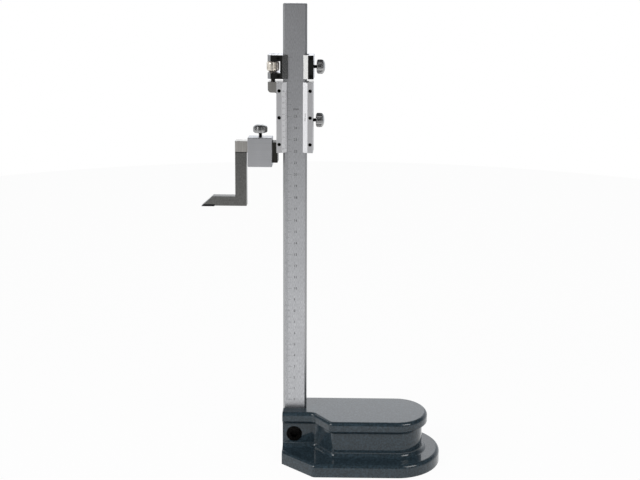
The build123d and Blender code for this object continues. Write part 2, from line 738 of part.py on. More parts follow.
with BuildPart() as scriber_tip:
    with BuildSketch(Plane.XZ.offset(-arm_thickness / 2)):
        Polygon((tip_left, reading), (tip_right - tip_protrusion, reading),
                (tip_right, foot_bottom), (tip_right, tip_top), (tip_top_x, tip_top), align=None)
    extrude(amount=arm_thickness - leg_front_step)
scriber_tip.part.label = "scriber_tip"

# ================================================================ export
subparts = [base_casting, column, column_clamp_screw, slider_body, vernier_plate, cover_plate,
            vernier_plate_screws, cover_plate_screws, slider_gib, slider_clamp_shoe,
            slider_clamp_screw, fine_adjust_rod, rod_lock_screw, fine_adjust_nut, carriage_body,
            carriage_left_plate, carriage_right_plate, carriage_left_screws,
            carriage_right_screws, carriage_gib, carriage_clamp_shoe, carriage_clamp_screw,
            jaw_arm, jaw_arm_screws, clamp_box, scriber_clamp_shoe, scriber_clamp_screw,
            scriber, scriber_tip]
os.makedirs("parts", exist_ok=True)
for subpart in subparts:
    export_step(subpart.part, f"parts/{subpart.part.label}.step")
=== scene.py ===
"""Looks of a single-column vernier height gauge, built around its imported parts.

Metres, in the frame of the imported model: +X runs along the base to its round end, +Y to
the rear and +Z up the column, with the origin on the resting face under the column. Sizes
that a maker would state are named in millimetres and turned to metres where they are used.
"""

import logging
import math
from contextlib import contextmanager
from dataclasses import dataclass, field
from enum import Enum
from typing import Iterator, Sequence

import bpy
from bpy.types import Material, Node, NodeSocket, NodeTree, Object
from mathutils import Matrix, Vector


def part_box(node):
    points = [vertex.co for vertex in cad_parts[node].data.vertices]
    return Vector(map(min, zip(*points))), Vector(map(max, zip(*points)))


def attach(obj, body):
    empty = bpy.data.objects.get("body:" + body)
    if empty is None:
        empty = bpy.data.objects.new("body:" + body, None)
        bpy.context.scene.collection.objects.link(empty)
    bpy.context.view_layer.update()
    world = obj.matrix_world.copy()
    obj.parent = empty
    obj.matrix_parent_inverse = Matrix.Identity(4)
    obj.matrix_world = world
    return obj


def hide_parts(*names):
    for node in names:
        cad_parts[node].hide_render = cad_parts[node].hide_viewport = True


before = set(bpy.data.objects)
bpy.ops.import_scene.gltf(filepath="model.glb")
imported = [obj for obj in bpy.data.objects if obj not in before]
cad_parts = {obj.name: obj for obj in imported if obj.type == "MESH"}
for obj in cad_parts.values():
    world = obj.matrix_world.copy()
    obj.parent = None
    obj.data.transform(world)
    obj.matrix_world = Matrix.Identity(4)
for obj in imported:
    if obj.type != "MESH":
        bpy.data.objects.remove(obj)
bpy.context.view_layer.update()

MM = 0.001
# Ranges of a noise value between which a pattern turns from one tone to the other.
SOFT = (0.3, 0.7)
CRISP = (0.35, 0.65)
# Turns what is modelled facing up so that it faces the front.
TO_FRONT = Matrix.Rotation(math.pi / 2, 4, "X")
log = logging.getLogger("height_gauge")


# ================ node and colour tools
def srgb(code: str) -> tuple[float, float, float, float]:
    """Turns an sRGB colour, "#rrggbb", to the linear red, green, blue and alpha of a shader."""
    # the sRGB curve: straight near black, then a power
    channels = [int(code[i:i + 2], 16) / 255 for i in (1, 3, 5)]
    linear = [c / 12.92 if c <= 0.04045 else ((c + 0.055) / 1.055) ** 2.4 for c in channels]
    return linear[0], linear[1], linear[2], 1.0


def add_node(tree: NodeTree, kind: str, links: dict | None = None,
             inputs: dict | None = None, **settings: object) -> Node:
    """Adds one node with its settings and links.

    Args:
        tree: Node tree that gets the node.
        kind: Blender's name of the node type.
        links: Output sockets, by the name or number of the input that each feeds.
        inputs: Plain values, by the name or number of the input.
        settings: Properties of the node.

    Returns:
        The new node.
    """
    node = tree.nodes.new(kind)
    for name, value in settings.items():
        setattr(node, name, value)
    for name, value in (inputs or {}).items():
        node.inputs[name].default_value = value
    for name, socket in (links or {}).items():
        tree.links.new(socket, node.inputs[name])
    return node


# ================ finishes
class Axis(Enum):
    """Direction of a grind or a face, as a unit vector of the frame."""

    X = (1.0, 0.0, 0.0)
    Y = (0.0, 1.0, 0.0)
    Z = (0.0, 0.0, 1.0)
    FRONT = (0.0, -1.0, 0.0)


@dataclass(frozen=True)
class Surface:
    """Node tree of one material, and the patterns that finishes are made of.

    Attributes:
        tree: The node tree.
        shader: The shader that its nodes feed.
    """

    tree: NodeTree
    shader: Node

    def add(self, kind: str, links: dict | None = None, inputs: dict | None = None,
            **settings: object) -> Node:
        """Adds one node, as add_node does."""
        return add_node(self.tree, kind, links, inputs, **settings)

    def feed(self, name: str, socket: NodeSocket) -> None:
        """Feeds one input of the shader."""
        self.tree.links.new(socket, self.shader.inputs[name])

    def tone(self) -> NodeSocket:
        """Returns what feeds the shader's colour so far."""
        return self.shader.inputs["Base Color"].links[0].from_socket

    def place(self) -> NodeSocket:
        """Returns the shaded point's own coordinates, in metres."""
        return self.add("ShaderNodeTexCoord").outputs["Object"]

    def along(self, axis: str) -> NodeSocket:
        """Returns one of those coordinates."""
        return self.add("ShaderNodeSeparateXYZ", {0: self.place()}).outputs[axis]

    def noise(self, size_mm: Sequence[float], detail: float = 2.0) -> NodeSocket:
        """Adds a noise pattern of a real size.

        Args:
            size_mm: Size of one feature along X, Y and Z in millimetres.
            detail: Octaves of finer detail.

        Returns:
            Noise value from 0 to 1.
        """
        scale = tuple(1 / (size * MM) for size in size_mm)
        mapping = self.add("ShaderNodeMapping", {"Vector": self.place()}, {"Scale": scale})
        texture = self.add("ShaderNodeTexNoise", {"Vector": mapping.outputs["Vector"]},
                           {"Scale": 1.0, "Detail": detail})
        return texture.outputs["Fac"]

    def remap(self, value: NodeSocket, source: tuple[float, float],
              target: tuple[float, float] = (0.0, 1.0)) -> NodeSocket:
        """Maps a value from one range to another and clamps it.

        Args:
            value: Value to map.
            source: Range that the value comes in.
            target: Range that it goes to.

        Returns:
            The mapped value.
        """
        node = self.add("ShaderNodeMapRange", {"Value": value},
                        {"From Min": source[0], "From Max": source[1],
                         "To Min": target[0], "To Max": target[1]})
        return node.outputs["Result"]

    def blend(self, factor: NodeSocket, low: "str | NodeSocket",
              high: "str | NodeSocket") -> NodeSocket:
        """Mixes two colours.

        Args:
            factor: Share of the second colour.
            low: First colour, as sRGB hex or a socket.
            high: Second colour, as sRGB hex or a socket.

        Returns:
            The mixed colour.
        """
        node = self.add("ShaderNodeMix", {0: factor}, data_type="RGBA")
        for index, colour in ((6, low), (7, high)):  # the node's inputs for colours
            if isinstance(colour, str):
                node.inputs[index].default_value = srgb(colour)
            else:
                self.tree.links.new(colour, node.inputs[index])
        return node.outputs[2]

    def bump(self, height: NodeSocket, strength: float, depth_mm: float) -> None:
        """Shows a share, `strength`, of a relief whose height of 1 is `depth_mm` deep."""
        node = self.add("ShaderNodeBump", {"Height": height},
                        {"Strength": strength, "Distance": depth_mm * MM})
        self.feed("Normal", node.outputs["Normal"])

    def facing(self, axis: Axis, start: float, end: float) -> NodeSocket:
        """Finds the faces that look along an axis; it masks the blacked fronts and the plates'
        painted bevel highlight.

        Args:
            axis: Direction in the part's own frame.
            start: Cosine at which the mask begins.
            end: Cosine from which the mask is full.

        Returns:
            1 on such faces and 0 elsewhere.
        """
        normal = self.add("ShaderNodeTexCoord").outputs["Normal"]
        dot = self.add("ShaderNodeVectorMath", {0: normal}, {1: axis.value},
                       operation="DOT_PRODUCT")
        return self.remap(dot.outputs["Value"], (start, end))


@dataclass(frozen=True)
class Finish:
    """A surface finish that makes one material.

    Attributes:
        name: Material's name.
        colour: sRGB hex colour of the clean surface.
        roughness: Roughness of the clean surface.
        metallic: 1 for bare metal and plating, 0 for paint and filler.
    """

    name: str
    colour: str
    roughness: float
    metallic: float = 1.0

    def make(self) -> Material:
        """Makes the material, with the finish's own pattern on it."""
        material = bpy.data.materials.new(self.name)
        material.use_nodes = True
        tree = material.node_tree
        shader = tree.nodes["Principled BSDF"]
        shader.inputs["Base Color"].default_value = srgb(self.colour)
        shader.inputs["Metallic"].default_value = self.metallic
        shader.inputs["Roughness"].default_value = self.roughness
        self.pattern(Surface(tree, shader))
        return material

    def pattern(self, surface: Surface) -> None:
        """Adds the finish's own nodes; a plain finish adds none.

        Args:
            surface: Surface that gets it.
        """

    def uneven_gloss(self, surface: Surface, value: NodeSocket,
                     shift: tuple[float, float]) -> None:
        """Lets the roughness follow a noise.

        Args:
            surface: Surface that gets it.
            value: Noise from 0 to 1.
            shift: What is added to the roughness at the noise's foot and at its top.
        """
        target = self.roughness + shift[0], self.roughness + shift[1]
        surface.feed("Roughness", surface.remap(value, SOFT, target))


@dataclass(frozen=True)
class GroundMetal(Finish):
    """Metal ground flat on a surface grinder: fine lines one way, uneven in depth.

    Attributes:
        grain: Direction of the grinding lines.
        line_mm: Width of a line; the real ones are finer than the eye sees.
        length_mm: Length of a line.
        shade: Colour at the bottom of the lines.
        cloud: Colour of the broad cloudy tone that grinding leaves.
        cloud_mm: Size of a cloud along X, Y and Z.
        depth_mm: Depth of the lines, drawn deeper than real ones so that they catch light.
    """

    grain: Axis = Axis.Z
    line_mm: float = 0.35
    length_mm: float = 40.0
    shade: str = "#808080"
    cloud: str = "#909090"
    cloud_mm: tuple[float, float, float] = (9.0, 9.0, 24.0)
    depth_mm: float = 0.02

    def pattern(self, surface: Surface) -> None:
        """Adds lines along the grain in colour, roughness and relief."""
        sizes = [self.length_mm if along else self.line_mm for along in self.grain.value]
        lines = surface.noise(sizes, 4.0)
        tone = surface.noise(self.cloud_mm)
        clouds = surface.blend(surface.remap(tone, SOFT), self.colour, self.cloud)
        surface.feed("Base Color", surface.blend(surface.remap(lines, CRISP), self.shade, clouds))
        self.uneven_gloss(surface, lines, (0.06, -0.05))
        surface.bump(lines, 0.25, self.depth_mm)


@dataclass(frozen=True)
class EdgedChrome(GroundMetal):
    """Satin chrome on a flat bar, with painted shade along both long edges in place of the dark
    room that their rounded-over faces reflect.

    Attributes:
        edge: Colour of the painted shade along the edges.
        edge_from: Distance from the middle of the bar where it starts, in millimetres.
        edge_full: Distance where it is full.
    """

    edge: str = "#808080"
    edge_from: float = 8.2
    edge_full: float = 9.4

    def pattern(self, surface: Surface) -> None:
        """Adds satin lines, with painted shade towards the edges."""
        super().pattern(surface)
        satin = surface.tone()
        # painted shade: the colour turns to the darker edge colour towards both long edges, for
        # the dark room that the rounded-over edges reflect
        away = surface.add("ShaderNodeMath", {0: surface.along("X")}, operation="ABSOLUTE")
        share = surface.remap(away.outputs[0], (self.edge_from * MM, self.edge_full * MM))
        surface.feed("Base Color", surface.blend(share, satin, self.edge))


@dataclass(frozen=True)
class PartGround(GroundMetal):
    """Hardened steel ground bright down to a shoulder and left dull below it.

    Attributes:
        dull: Colour of the scaled surface below the shoulder.
        scale: Second colour of the mottled scale there.
        split_z: Height of the shoulder in millimetres.
        blur: Height over which one surface turns into the other.
        shadow: Half height of the dark line along the shoulder.
        shadow_core: Share of that half height that is fully dark.
        line: Colour of the dark line.
    """

    dull: str = "#606060"
    scale: str = "#696967"
    split_z: float = 0.0
    blur: float = 0.1
    # shadow: Half height of the painted shadow line along the shoulder, where the shank steps out
    # over the leg.
    shadow: float = 0.45
    shadow_core: float = 0.6
    # line: Colour of that painted shadow.
    line: str = "#262626"

    def pattern(self, surface: Surface) -> None:
        """Adds ground lines above the shoulder, mottled scale below and a painted shadow line
        along the shoulder; see Finish.pattern.
        """
        super().pattern(surface)
        ground = surface.tone()
        mottle = surface.noise((1.1, 1.1, 1.6), 4.0)
        scaled = surface.blend(surface.remap(mottle, SOFT), self.scale, self.dull)
        height = surface.along("Z")
        split = self.split_z * MM
        above = surface.remap(height, (split, split + self.blur * MM))
        both = surface.blend(above, scaled, ground)
        # painted shadow: a dark line along the shoulder, under the shank's step
        away = surface.add("ShaderNodeMath", {0: height}, {1: split}, operation="SUBTRACT")
        span = surface.add("ShaderNodeMath", {0: away.outputs[0]}, operation="ABSOLUTE")
        reach = self.shadow * MM
        clear = surface.remap(span.outputs[0], (reach * self.shadow_core, reach))
        surface.feed("Base Color", surface.blend(clear, self.line, both))


@dataclass(frozen=True)
class MattPlate(Finish):
    """Chrome plate on a blasted surface: even, pale and free of glare, with a fine grit.

    Attributes:
        grit_mm: Size of the blasting grit's marks.
        bevel: Colour of the slanted faces, painted paler as a highlight from the lamps.
    """

    grit_mm: float = 0.5
    bevel: str = "#d0d0d0"

    def pattern(self, surface: Surface) -> None:
        """Adds fine grit over a flat tone, with a painted highlight on slanted faces."""
        grit = surface.noise((self.grit_mm,) * 3, 3.0)
        # painted highlight: faces that turn away from the front take the paler bevel colour, for
        # the lamps that they catch
        front = surface.facing(Axis.FRONT, 0.9, 0.98)
        tone = surface.blend(front, self.bevel, self.colour)
        specks = surface.remap(grit, SOFT, (0.88, 1.06))
        scaled = surface.add("ShaderNodeVectorMath", {0: tone, "Scale": specks},
                             operation="SCALE")
        surface.feed("Base Color", scaled.outputs["Vector"])
        surface.bump(grit, 0.35, 0.03)


@dataclass(frozen=True)
class BlackedFront(Finish):
    """Blacked steel whose bevels, chamfers and ends were ground bright afterwards.

    Attributes:
        bright: Colour of the ground faces.
        bright_shade: Colour at the bottom of their grinding lines.
        bright_roughness: Roughness of the ground faces.
    """

    bright: str = "#dededc"
    bright_shade: str = "#bcbcbb"
    bright_roughness: float = 0.2

    def pattern(self, surface: Surface) -> None:
        """Adds black on the front face and bright lines on all others."""
        front = surface.facing(Axis.FRONT, 0.93, 0.98)
        lines = surface.noise((0.4, 0.4, 12.0), 3.0)
        ground = surface.blend(surface.remap(lines, SOFT), self.bright_shade, self.bright)
        surface.feed("Base Color", surface.blend(front, ground, self.colour))
        surface.feed("Roughness", surface.remap(front, (0.0, 1.0),
                                                (self.bright_roughness, self.roughness)))
        surface.bump(lines, 0.15, 0.02)


@dataclass(frozen=True)
class HammertonePaint(Finish):
    """Hammertone enamel over cast iron: a dark glossy coat, dimpled, with metal flake.

    Attributes:
        flake: Colour of the metal flake that gathers between the dimples.
        dimple_mm: Size of a dimple.
        fleck_mm: Size of a fleck.
        wave_mm: Length of the casting's broad wave.
    """

    flake: str = "#3f4a52"
    dimple_mm: float = 2.2
    fleck_mm: float = 0.7
    wave_mm: float = 14.0

    def pattern(self, surface: Surface) -> None:
        """Adds dimples, flake between them, and a broad wave; see Finish.pattern."""
        cells = surface.add("ShaderNodeTexVoronoi", {"Vector": surface.place()},
                            {"Scale": 1 / (self.dimple_mm * MM), "Randomness": 1.0},
                            feature="SMOOTH_F1").outputs["Distance"]
        flecks = surface.noise((self.fleck_mm,) * 3, 3.0)
        wave = surface.noise((self.wave_mm,) * 3)
        gather = surface.remap(cells, (0.25, 0.75), (0.0, 0.6))
        speckle = surface.remap(flecks, (0.45, 0.75), (0.0, 0.6))
        amount = surface.add("ShaderNodeMath", {0: gather, 1: speckle}, operation="ADD",
                             use_clamp=True)
        surface.feed("Base Color", surface.blend(amount.outputs[0], self.colour, self.flake))
        relief = surface.add("ShaderNodeMath", {0: cells, 1: wave}, operation="ADD")
        surface.bump(relief.outputs[0], 0.3, 0.1)
        coat = {"Coat Weight": 1.0, "Coat Roughness": 0.05, "Coat IOR": 1.45,
                "Specular IOR Level": 0.1}
        for name, value in coat.items():
            surface.shader.inputs[name].default_value = value


@dataclass(frozen=True)
class OxideBlack(Finish):
    """Black oxide on steel: a thin dark skin that stays slightly oily and uneven.

    Attributes:
        worn: Colour where the skin is thin.
        mottle_mm: Size of a patch.
    """

    worn: str = "#1c1b1a"
    mottle_mm: float = 1.2

    def pattern(self, surface: Surface) -> None:
        """Adds a faint mottling of tone and gloss."""
        mottle = surface.noise((self.mottle_mm,) * 3, 3.0)
        thin = surface.remap(mottle, (0.35, 0.7))
        surface.feed("Base Color", surface.blend(thin, self.colour, self.worn))
        self.uneven_gloss(surface, mottle, (-0.08, 0.1))


@dataclass(frozen=True)
class BrightPlate(Finish):
    """Nickel or brass turned and plated bright: soft turning rings under a clear gloss.

    Attributes:
        ring_mm: Pitch of the turning marks.
        tint: Colour where the plate is thin and handled.
        tint_mm: Size of a tinted patch.
    """

    ring_mm: float = 0.4
    tint: str = "#b9b0a2"
    tint_mm: float = 3.0

    def pattern(self, surface: Surface) -> None:
        """Adds a cloudy tint and a little relief from turning."""
        cloud = surface.remap(surface.noise((self.tint_mm,) * 3), CRISP)
        surface.feed("Base Color", surface.blend(cloud, self.colour, self.tint))
        rings = surface.noise((self.ring_mm,) * 3)
        self.uneven_gloss(surface, rings, (-0.04, 0.08))
        surface.bump(rings, 0.15, 0.01)


PAINT = HammertonePaint("hammertone_enamel", "#1f2a30", 0.45, 0.0, flake="#3a4b56", dimple_mm=1.6)
# edge: painted shade along the column's two long edges
COLUMN_CHROME = EdgedChrome("satin_chrome_column", "#c6c7ca", 0.4, shade="#b2b3b6",
                            cloud="#d2d3d6", line_mm=0.5, length_mm=2.5, edge="#a2a3a4")
SLIDER_CHROME = GroundMetal("satin_chrome_slider", "#bab8b4", 0.36, shade="#a09e9a",
                            cloud="#c2c0bc", line_mm=0.3)
# bevel: painted highlight on the plates' slanted faces
PLATE_CHROME = MattPlate("matt_chrome_plate", "#cdcdcf", 0.5, bevel="#eaeaec")
CARRIAGE_STEEL = GroundMetal("ground_steel_carriage", "#c2c2c8", 0.3, grain=Axis.Y,
                             shade="#a2a2a8", cloud="#ccccd2")
CARRIAGE_BLACK = BlackedFront("blacked_steel_plate", "#3a3a39", 0.35)
BLACK_OXIDE = OxideBlack("black_oxide_screw", "#060606", 0.45)
BLACKED_SCREW = OxideBlack("blacked_plate_screw", "#2c2c2b", 0.4)
GIB_STEEL = GroundMetal("spring_steel_gib", "#5a5a5c", 0.4, shade="#454547", cloud="#626264")
PAD_BRASS = BrightPlate("turned_brass_pad", "#c8a25a", 0.3, tint="#b08a48")
NICKEL = BrightPlate("nickel_plate", "#e4ded4", 0.36, tint="#d8d0c4")
HEAD_CHROME = BrightPlate("bright_chrome", "#b2b2b2", 0.25, tint="#9c9c9c")
ROD_STEEL = BrightPlate("rolled_steel_thread", "#5a5855", 0.32, tint="#44423f")
ARM_STEEL = GroundMetal("ground_dark_steel_arm", "#444441", 0.42, grain=Axis.Z,
                        shade="#2a2a28", cloud="#50504c")
BOX_CHROME = GroundMetal("satin_chrome_box", "#c0c1c4", 0.4, grain=Axis.X, line_mm=0.25,
                         shade="#b8b9bc", cloud="#c8c9cc")
SHANK_HEIGHT = 9.75  # of the scriber's ground shank, in millimetres
SCRIBER_STEEL = PartGround("ground_tool_steel", "#cac8c4", 0.34, grain=Axis.Z,
                           shade="#a6a39e", cloud="#dedcd8", dull="#7e7e7c",
                           split_z=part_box("scriber")[1].z / MM - SHANK_HEIGHT)
CARBIDE = GroundMetal("ground_carbide", "#2c2c2e", 0.35, grain=Axis.X, shade="#1d1d1f",
                      cloud="#343437")
FILLER = OxideBlack("black_engraving_filler", "#1c1c1e", 0.6, 0.0)


# ================ modelling tools
def deselect_all() -> None:
    """Deselects every object, because an operator acts on all that is selected."""
    for item in bpy.context.selected_objects:
        item.select_set(False)


def select_only(*items: Object) -> None:
    """Selects these objects alone and makes the first the active one."""
    deselect_all()
    for item in items:
        item.select_set(True)
    bpy.context.view_layer.objects.active = items[0]


@contextmanager
def editing(item: Object) -> Iterator[Object]:
    """Opens an object in edit mode and closes it again."""
    select_only(item)
    bpy.ops.object.mode_set(mode="EDIT")
    yield item
    bpy.ops.object.mode_set(mode="OBJECT")


def apply_modifier(item: Object, kind: str, **settings: object) -> None:
    """Adds a modifier of Blender's type `kind` with its settings, and applies it at once."""
    select_only(item)
    modifier = item.modifiers.new(kind.lower(), kind)
    for name, value in settings.items():
        setattr(modifier, name, value)
    bpy.ops.object.modifier_apply(modifier=modifier.name)


def draw_profile(points: list[tuple[float, float]]) -> Object:
    """Draws an open line in the XZ plane, point by point.

    Args:
        points: Radius and height of each point in millimetres.

    Returns:
        Object that holds the line.
    """
    deselect_all()
    first = points[0]
    bpy.ops.mesh.primitive_plane_add(size=MM, location=(0, 0, 0))
    line = bpy.context.object
    with editing(line):
        bpy.ops.mesh.select_all(action="SELECT")
        bpy.ops.mesh.merge(type="CENTER")
        bpy.ops.transform.translate(value=(first[0] * MM, 0, first[1] * MM))
        for start, end in zip(points, points[1:]):
            step = ((end[0] - start[0]) * MM, 0, (end[1] - start[1]) * MM)
            bpy.ops.mesh.extrude_region_move(TRANSFORM_OT_translate={"value": step})
    return line


def turn(points: list[tuple[float, float]], steps: int) -> Object:
    """Turns a solid about the Z axis from a profile that starts and ends on the axis.

    Args:
        points: Radius and height of each point in millimetres.
        steps: Faces round the solid.

    Returns:
        The closed solid.
    """
    solid = draw_profile(points)
    with editing(solid):
        bpy.ops.mesh.select_all(action="SELECT")
        bpy.ops.mesh.spin(steps=steps, angle=2 * math.pi, center=(0, 0, 0), axis=(0, 0, 1))
        clean()
    return solid


def clean() -> None:
    """Merges doubles, closes poles and turns normals outward, in edit mode."""
    bpy.ops.mesh.select_all(action="SELECT")
    bpy.ops.mesh.remove_doubles(threshold=0.002 * MM)
    bpy.ops.mesh.dissolve_degenerate(threshold=0.001 * MM)
    bpy.ops.mesh.select_all(action="SELECT")
    bpy.ops.mesh.normals_make_consistent(inside=False)


def cut(item: Object, tool: Object) -> None:
    """Takes a tool's solid away from an item, and then removes the tool."""
    apply_modifier(item, "BOOLEAN", object=tool, operation="DIFFERENCE", solver="EXACT")
    mesh = tool.data
    bpy.data.objects.remove(tool)
    bpy.data.meshes.remove(mesh)


def join(items: list[Object]) -> Object:
    """Joins objects into the first one."""
    select_only(*items)
    bpy.ops.object.join()
    return items[0]


def block(low: Sequence[float], high: Sequence[float]) -> Object:
    """Adds a rectangular block between two corners in millimetres."""
    deselect_all()
    centre = (Vector(low) + Vector(high)) / 2
    bpy.ops.mesh.primitive_cube_add(size=1, location=centre * MM)
    item = bpy.context.object
    item.scale = (Vector(high) - Vector(low)) * MM
    bpy.ops.object.transform_apply(location=True, rotation=True, scale=True)
    return item


def rod(radius: float, low: float, high: float, sides: int,
        place: tuple[float, float] = (0.0, 0.0)) -> Object:
    """Adds a prism or cylinder along Z.

    Args:
        radius: Radius of its corners in millimetres.
        low: Height of its lower end.
        high: Height of its upper end.
        sides: Number of sides.
        place: X and Y of its axis.

    Returns:
        The solid, with its place in its mesh.
    """
    deselect_all()
    bpy.ops.mesh.primitive_cylinder_add(
        vertices=sides, radius=radius * MM, depth=(high - low) * MM,
        location=(place[0] * MM, place[1] * MM, (low + high) / 2 * MM))
    bpy.ops.object.transform_apply(location=True, rotation=True, scale=True)
    return bpy.context.object


def copied(item: Object) -> Object:
    """Copies an object with a mesh of its own."""
    twin = item.copy()
    twin.data = item.data.copy()
    bpy.context.collection.objects.link(twin)
    return twin


def repeat(item: Object, pitch: float, count: int) -> None:
    """Repeats an object's mesh up the Y axis, `count` times, `pitch` millimetres apart."""
    apply_modifier(item, "ARRAY", use_relative_offset=False, use_constant_offset=True,
                   constant_offset_displace=(0, pitch * MM, 0), count=count)


def soften(item: Object, width: float) -> None:
    """Rounds an object's sharp edges over a width in millimetres."""
    apply_modifier(item, "BEVEL", width=width * MM, segments=2, limit_method="ANGLE",
                   angle_limit=math.radians(35))


def place_at(item: Object, matrix: Matrix) -> Object:
    """Puts an object in its place and leaves that place in its mesh."""
    item.matrix_world = matrix
    select_only(item)
    bpy.ops.object.transform_apply(location=True, rotation=True, scale=True)
    return item


def smooth(item: Object, angle_deg: float = 30.0) -> Object:
    """Shades an object smooth over edges that turn less than an angle."""
    select_only(item)
    bpy.ops.object.shade_smooth_by_angle(angle=math.radians(angle_deg))
    return item


def mount(item: Object, name: str, material: Material, body: str,
          node: str | None = None) -> Object:
    """Names and dresses a finished piece and hands it to the body that carries it.

    Args:
        item: Finished piece.
        name: Its name.
        material: Its material.
        body: Body that carries it.
        node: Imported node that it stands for, if it does.

    Returns:
        The piece.
    """
    item.name = name
    item.data.name = name
    item.data.materials.clear()
    item.data.materials.append(material)
    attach(item, body)
    if node:
        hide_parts(node)
    log.info("%s: %d faces, on %s", name, len(item.data.polygons), body)
    return item


def thread(radius: float, depth: float, pitch: float, low: float, high: float,
           steps: int = 24) -> Object:
    """Models a threaded stem along Z with a real helix.

    Args:
        radius: Outer radius in millimetres.
        depth: Depth of the thread.
        pitch: Rise in one turn.
        low: Height of its lower end.
        high: Height of its upper end.
        steps: Faces in one turn.

    Returns:
        The closed solid.
    """
    flat = pitch / 8
    turns = math.ceil((high - low) / pitch) + 2
    start = low - pitch
    line = draw_profile([(radius - depth, start), (radius - depth, start + flat),
                         (radius, start + pitch / 2), (radius, start + pitch / 2 + flat),
                         (radius - depth, start + pitch)])
    apply_modifier(line, "SCREW", axis="Z", angle=2 * math.pi, screw_offset=pitch * MM,
                   iterations=turns, steps=steps, render_steps=steps,
                   use_merge_vertices=True, merge_threshold=0.01 * MM)
    with editing(line):
        clean()
        for height, keep_above in ((low, True), (high, False)):
            bpy.ops.mesh.select_all(action="SELECT")
            bpy.ops.mesh.bisect(plane_co=(0, 0, height * MM), plane_no=(0, 0, 1),
                                use_fill=True, clear_inner=keep_above,
                                clear_outer=not keep_above)
        clean()
    return line


def lettering(text: str, height: float, depth: float) -> Object:
    """Models plain characters, centred, upright in the XY plane.

    Args:
        text: Characters to show.
        height: Height of a figure in millimetres.
        depth: Thickness in millimetres, from Z = 0 up.

    Returns:
        The characters as a mesh.
    """
    deselect_all()
    bpy.ops.object.text_add(location=(0, 0, 0))
    item = bpy.context.object
    figures = item.data
    figures.body = text
    figures.align_x = "CENTER"
    figures.align_y = "CENTER"
    cap_share = 0.7  # height of a figure against the type size
    figures.size = height / cap_share * MM
    figures.resolution_u = 2
    figures.extrude = depth / 2 * MM
    bpy.ops.object.convert(target="MESH")
    with editing(item):
        bpy.ops.mesh.select_all(action="SELECT")
        bpy.ops.transform.translate(value=(0, 0, depth / 2 * MM))
        clean()
    return item


